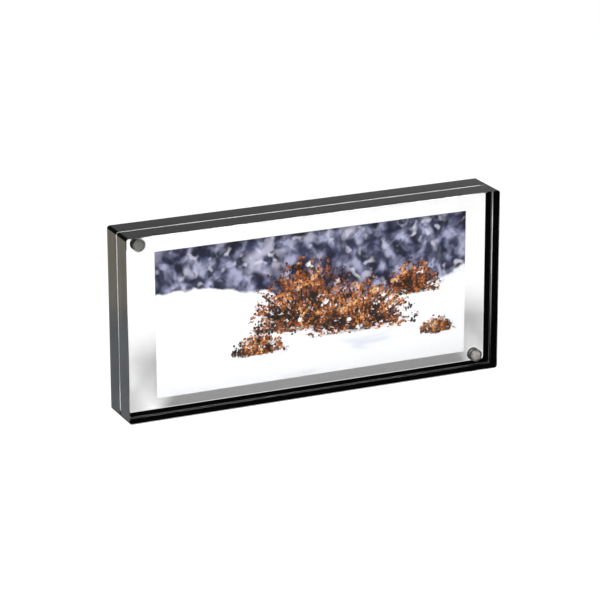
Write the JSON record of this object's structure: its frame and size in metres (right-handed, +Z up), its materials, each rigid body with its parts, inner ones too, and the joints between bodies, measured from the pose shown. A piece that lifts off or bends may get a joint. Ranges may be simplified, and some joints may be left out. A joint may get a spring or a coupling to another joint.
{
  "type": "acrylic block frame",
  "caption": "Free-standing frame of clear acrylic blocks with black edges, held face to face by sunk magnets around a floating print.",
  "frame": {"origin": "middle of the footprint, on the surface that the frame stands on", "axes": "+X along the frame's length to the viewer's right, +Y from front to back, +Z up"},
  "size_m": [0.1922, 0.0242, 0.09],
  "materials": {
    "clear_acrylic": "cast acrylic, polished clear",
    "edge_film": "black hot-stamped film, semi-gloss",
    "magnet_plating": "nickel-plated, bright",
    "print_card": "resin-coated photo paper, satin"
  },
  "bodies": {
    "rear_half": {"rear_block": "clear_acrylic", "rear_top_film": "edge_film", "rear_bottom_film": "edge_film", "rear_left_film": "edge_film", "rear_right_film": "edge_film", "rear_upper_magnet": "magnet_plating", "rear_lower_magnet": "magnet_plating"},
    "front_half": {"front_block": "clear_acrylic", "front_top_film": "edge_film", "front_bottom_film": "edge_film", "front_left_film": "edge_film", "front_right_film": "edge_film", "front_upper_magnet": "magnet_plating", "front_lower_magnet": "magnet_plating"},
    "print": {"print_insert": "print_card"}
  },
  "joints": [
    {"name": "front_release", "type": "slide", "parent": "rear_half", "child": "front_half", "axis": [0, -1, 0], "range_m": [0, 0.06]},
    {"name": "print_lift", "type": "slide", "parent": "rear_half", "child": "print", "axis": [0, 0, 1], "range_m": [0, 0.09]}
  ]
}
